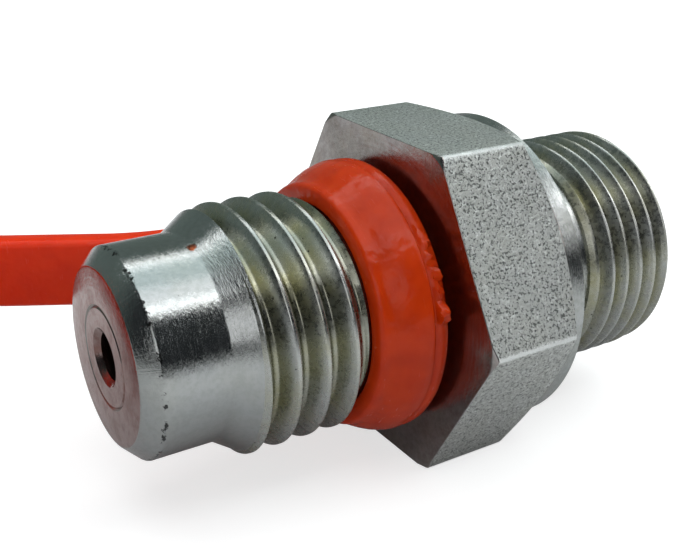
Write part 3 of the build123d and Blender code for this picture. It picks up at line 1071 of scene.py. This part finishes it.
def run_on(bm, loop, heading, length, pieces):
    """Extrudes a loop of edges along a heading in the plan, and returns the new loop."""
    for _ in range(pieces):
        grown = bmesh.ops.extrude_edge_only(bm, edges=loop)["geom"]
        loop = [e for e in pick(grown, bmesh.types.BMEdge) if e.is_boundary]
        way = heading_to(heading) * length / pieces * MM
        bmesh.ops.translate(bm, verts=pick(grown, bmesh.types.BMVert), vec=way)
    return loop


def bend_on(bm, loop, at, heading, radius, turn_by, pieces):
    """Spins a loop of edges round a bend in the plan, and returns the new loop."""
    side = math.copysign(1, turn_by)
    centre = at + Vector((-math.sin(heading), math.cos(heading), 0)) * radius * side
    verts = list({v for e in loop for v in e.verts})
    grown = bmesh.ops.spin(
        bm, geom=verts + loop, cent=centre * MM, axis=(0, 0, 1), dvec=(0, 0, 0),
        angle=turn_by, steps=pieces, use_merge=False, use_duplicate=False,
    )["geom_last"]
    return pick(grown, bmesh.types.BMEdge), centre


print("strip helpers: heading_to, run_on, bend_on")

# %% Strap band
half_thick, half_tall, edge_round = 0.95, 2.5, 0.5
run_piece, bend_piece = 0.5, 3
band_start = Vector((ring_rear - 1.1, 8.0, 0))
band = bmesh.new()
bmesh.ops.create_circle(band, cap_ends=False, segments=24, radius=edge_round * MM)
for v in band.verts:
    across = v.co.x + math.copysign((half_thick - edge_round) * MM, v.co.x)
    up = v.co.y + math.copysign((half_tall - edge_round) * MM, v.co.y)
    v.co = band_start * MM + Vector((across, 0, up))

# Each run has a length, and each bend a radius and a turn in degrees.
loop, at, heading = band.edges[:], band_start.copy(), math.radians(90)
for kind, size, turn_deg in (
    ("run", 1.0, 0), ("bend", 2.4, 90), ("run", 3.6, 0), ("bend", 14.0, -28),
    ("run", 6.8, 0), ("bend", 5.0, -50), ("run", 1.2, 0), ("bend", 5.0, 78), ("run", 1.4, 0),
):
    if kind == "run":
        loop = run_on(band, loop, heading, size, max(1, round(size / run_piece)))
        at += heading_to(heading) * size
    else:
        turn_by = math.radians(turn_deg)
        pieces = max(6, round(abs(turn_deg) / bend_piece))
        loop, centre = bend_on(band, loop, at, heading, size, turn_by, pieces)
        at = centre + Matrix.Rotation(turn_by, 3, "Z") @ (at - centre)
        heading += turn_by
bmesh.ops.holes_fill(band, edges=[e for e in band.edges if e.is_boundary], sides=0)
bmesh.ops.recalc_face_normals(band, faces=band.faces)
join_in(strap_bm, band)
print("strap ends at", [round(c, 2) for c in at])

# %% [markdown]
# ## The strap's eye
#
# At its far end the band joins a flat eye in which the dust cap turns. A solidified ring
# would have square edges, but a moulded eye has small rounds, so it is one more turned
# section, set on the cap's own axis. Ring, band and eye are one moulding, and one piece.

# %% Strap eye
low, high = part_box("dust_cap")
cap_x, cap_z = (low[0] + high[0]) / 2 / MM, (low[2] + high[2]) / 2 / MM
eye_outer_r, eye_hole_r, t = 9.6, 7.15, half_thick
eye_points = [
    (-t, eye_hole_r + 0.15), (-t, eye_outer_r - 0.4), (-t + 0.12, eye_outer_r - 0.12),
    (-t + 0.4, eye_outer_r), (t - 0.4, eye_outer_r), (t - 0.12, eye_outer_r - 0.12),
    (t, eye_outer_r - 0.4), (t, eye_hole_r + 0.15),
    (t - 0.15, eye_hole_r), (-t + 0.15, eye_hole_r),
]
eye_bm, _ = turned(eye_points, [0] * len(eye_points), 160)
eye_place = Matrix.Translation(Vector((cap_x, at.y, cap_z)) * MM)
eye_bm.transform(eye_place @ Matrix.Rotation(math.radians(-90), 4, "Z"))
join_in(strap_bm, eye_bm)
as_piece("tether_strap", strap_bm, "strap", [orange_plastic], "cap_strap", 40)

# %% [markdown]
# ## The valve spring
#
# A small round-wire compression spring pushes the poppet shut. A wire ring that is spun
# along the axis while it turns is a coil: the two end turns lie nearly shut, as on a real
# spring, and the turns between share the rest. On the real valve it shortens as the
# poppet slides in.

# %% Valve spring
wire_r, coil_r, shut_pitch = 0.3, 2.3, 0.66
end_turns, open_turns = 1.0, 4.5
steps_a_turn, wire_sides = 28, 10
low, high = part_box("valve_spring")
first_x, last_x = low[0] / MM + wire_r, high[0] / MM - wire_r
open_pitch = (last_x - first_x - 2 * end_turns * shut_pitch) / open_turns
coil_bm = bmesh.new()
bmesh.ops.create_circle(coil_bm, segments=wire_sides, radius=wire_r * MM)
bmesh.ops.translate(coil_bm, verts=coil_bm.verts, vec=(first_x * MM, coil_r * MM, 0))
wire = coil_bm.verts[:] + coil_bm.edges[:]
for turns, pitch in ((end_turns, shut_pitch), (open_turns, open_pitch), (end_turns, shut_pitch)):
    steps = round(turns * steps_a_turn)
    wire = spin_x(coil_bm, wire, steps, FULL_TURN * turns, advance=pitch / steps_a_turn * MM)
bmesh.ops.holes_fill(coil_bm, edges=[e for e in coil_bm.edges if e.is_boundary], sides=0)
spring_piece = as_piece(
    "coil_spring", coil_bm, "coupling", [spring_steel], "valve_spring", 60,
)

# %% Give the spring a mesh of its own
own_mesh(spring_piece)

# %% [markdown]
# ## Finishes for the CAD pieces
#
# The insert, the valve's inner pieces, the seals and the cap have their real shapes in
# the CAD model already. They could be modelled again, but that would gain nothing, so
# each keeps its CAD mesh and gets the finish of its kind.

# %% Finish the CAD pieces
for finish, nodes in (
    (face_zinc, ["nose_insert"]),
    (inner_steel, ["poppet", "spring_retainer"]),
    (spring_steel, ["circlip"]),
    (seal_rubber, ["probe_seal", "poppet_seal", "port_seal", "cap_seal"]),
    (ring_ptfe, ["backup_ring"]),
    (orange_plastic, ["dust_cap"]),
):
    for node in nodes:
        for slot in bpy.data.objects[node].material_slots:
            slot.material = finish
    print(finish.name, "on", nodes)

# %% [markdown]
# ## The table
#
# The part stands on a plain white table. If lamps made it white, they would also bleach
# the part, so its white is written as a colour for the camera and a dimmer glow for
# reflections. In reflections that glow is darkened, as painted shade, away from the part
# and right under it, where a real table is in the part's own shade.

# %% Table


def stage_object(name, bm, finish):
    """Makes a part of the studio, which isn't part of the object."""
    mesh = bpy.data.meshes.new(name)
    bm.to_mesh(mesh)
    bm.free()
    mesh.materials.append(finish)
    made = bpy.data.objects.new(name, mesh)
    scene.collection.objects.link(made)
    print(name, len(mesh.polygons), "faces")
    return made


table_drop = 0.00002
bm = bmesh.new()
bmesh.ops.create_grid(bm, x_segments=2, y_segments=2, size=3.0)
bmesh.ops.translate(bm, verts=bm.verts, vec=(0, 0, -half_flats * MM - table_drop))

table_white, tree, shader = material("table_white")
path = tree.nodes.new("ShaderNodeLightPath")
by_camera, by_gloss = path.outputs["Is Camera Ray"], path.outputs["Is Glossy Ray"]
x, y, z = split(tree, object_mm(tree))
away = reach(tree, x, y)
mirrored = maths(tree, "MAXIMUM", by_gloss, path.outputs["Is Transmission Ray"])
# Painted shade: in reflections the table's glow fades away from the part.
mirrored = times(tree, mirrored, ramp(tree, away, 45.0, 170.0, 1.0, 0.25))
# Painted shadow: the glow in reflections is darker close under the part's axis.
in_shade = ramp(tree, maths(tree, "ABSOLUTE", y), 3.0, 36.0, 0.03, 0.54)
seen = maths(tree, "MAXIMUM", by_camera, mirrored)
plain = ramp(tree, away, 40.0, 190.0, 0.62, 0.16)
table_colour = mix(tree, seen, join(tree, plain, plain, plain), (0.52, 0.52, 0.52))
lit = maths(tree, "MAXIMUM", by_camera, times(tree, mirrored, in_shade))
white = times(tree, lit, ramp(tree, away, 30.0, 260.0, 0.66, 0.88))
tree.links.new(table_colour, shader.inputs["Base Color"])
tree.links.new(join(tree, white, white, white), shader.inputs["Emission Color"])
shader.inputs["Emission Strength"].default_value = 1.0
shader.inputs["Roughness"].default_value = 0.7
shader.inputs["Specular IOR Level"].default_value = 0.2
stage_object("table", bm, table_white)

# %% [markdown]
# ## The tent
#
# Plated steel only looks like steel with something dark to reflect. Black cards could
# stand about the part, but a whole dome with a dim back is simpler and has no edges. It
# shows in reflections alone, and lights nothing.

# %% Tent
bm = bmesh.new()
bmesh.ops.create_uvsphere(bm, u_segments=48, v_segments=24, radius=1.2)
below = [v for v in bm.verts if v.co.z < -0.01]
bmesh.ops.delete(bm, geom=below, context="VERTS")

tent_front, tent_back = (0.028, 0.031, 0.034), (0.165, 0.21, 0.195)
tent_cloth, tree, shader = material("tent_cloth")
tree.nodes.remove(shader)
glow = tree.nodes.new("ShaderNodeEmission")
back = ramp(tree, split(tree, object_mm(tree))[1], -100.0, 700.0)
tree.links.new(mix(tree, back, tent_front, tent_back), glow.inputs["Color"])
tree.links.new(glow.outputs[0], tree.nodes["Material Output"].inputs["Surface"])
tent = stage_object("tent", bm, tent_cloth)
for ray in ("camera", "diffuse", "shadow", "transmission", "volume_scatter"):
    setattr(tent, "visible_" + ray, False)

# %% [markdown]
# ## The sky
#
# The world is plain white to the camera and to reflections, and a dim cool grey as a
# light, so that it fills the shadows without washing out the colours.

# %% Sky
sky_light, sky_white = (0.27, 0.28, 0.29), (1.0, 1.0, 1.0)
world = bpy.data.worlds.new("sky")
scene.world = world
world.use_nodes = True
tree = world.node_tree
background = tree.nodes["Background"]
path = tree.nodes.new("ShaderNodeLightPath")
seen = maths(tree, "MAXIMUM", path.outputs["Is Camera Ray"], path.outputs["Is Glossy Ray"])
seen = maths(tree, "MAXIMUM", seen, path.outputs["Is Transmission Ray"])
tree.links.new(mix(tree, seen, sky_light, sky_white), background.inputs["Color"])
background.inputs["Strength"].default_value = 1.0
print("sky as a light:", sky_light)

# %% [markdown]
# ## The lamps
#
# Long lamps along the part draw long bright bands on turned steel, as strip softboxes do
# in a studio. One wide softbox would give a single dull band, so two narrow strips stand
# on either side of two softer panels overhead, and two square panels fill the sides.
# A lamp's energy is worked out from its brightness, so a size can change on its own.

# %% Lamps
rig_middle, rig_distance, rig_length = Vector((-20 * MM, 0, 0)), 0.4, 0.7
panel_distance = 0.42


def lamp(name, size, radiance, matrix, colour=(1, 1, 1)):
    """A rectangular area lamp of a given size, brightness and place."""
    data = bpy.data.lights.new(name, "AREA")
    data.shape = "RECTANGLE"
    data.size, data.size_y = size
    data.energy = radiance * math.pi * size[0] * size[1]
    data.color = colour
    made = bpy.data.objects.new(name, data)
    made.matrix_world = matrix
    scene.collection.objects.link(made)
    print("lamp", name, round(data.energy, 3), "W")


def overhead(name, slope, width, radiance, colour=(1, 1, 1)):
    """A long overhead lamp, at an angle round the X axis from +Y towards +Z, in degrees."""
    lean = math.radians(slope)
    out = Vector((0.34, 0.94 * math.cos(lean), 0.94 * math.sin(lean)))
    facing = Matrix.Rotation(lean - math.radians(90), 4, "X")
    matrix = Matrix.Translation(rig_middle + out * rig_distance) @ facing
    lamp(name, (rig_length, width), radiance, matrix, colour)


def panel(name, out, size, radiance):
    """A soft panel on the line "out" from the part, facing it."""
    out = Vector(out).normalized()
    facing = out.to_track_quat("Z", "Y").to_matrix().to_4x4()
    lamp(name, size, radiance, Matrix.Translation(out * panel_distance) @ facing)


overhead("strip_back", 61, 0.045, 3.4)
overhead("ceiling", 80, 0.21, 1.2, (0.86, 1.0, 1.0))
overhead("window", 107, 0.16, 1.75, (0.95, 0.99, 1.0))
overhead("strip_front", 120, 0.045, 3.6)
panel("side_right", (0.74, -0.46, 0.50), (0.18, 0.22), 1.7)
panel("fill_left", (-0.60, -0.70, 0.36), (0.26, 0.22), 1.25)
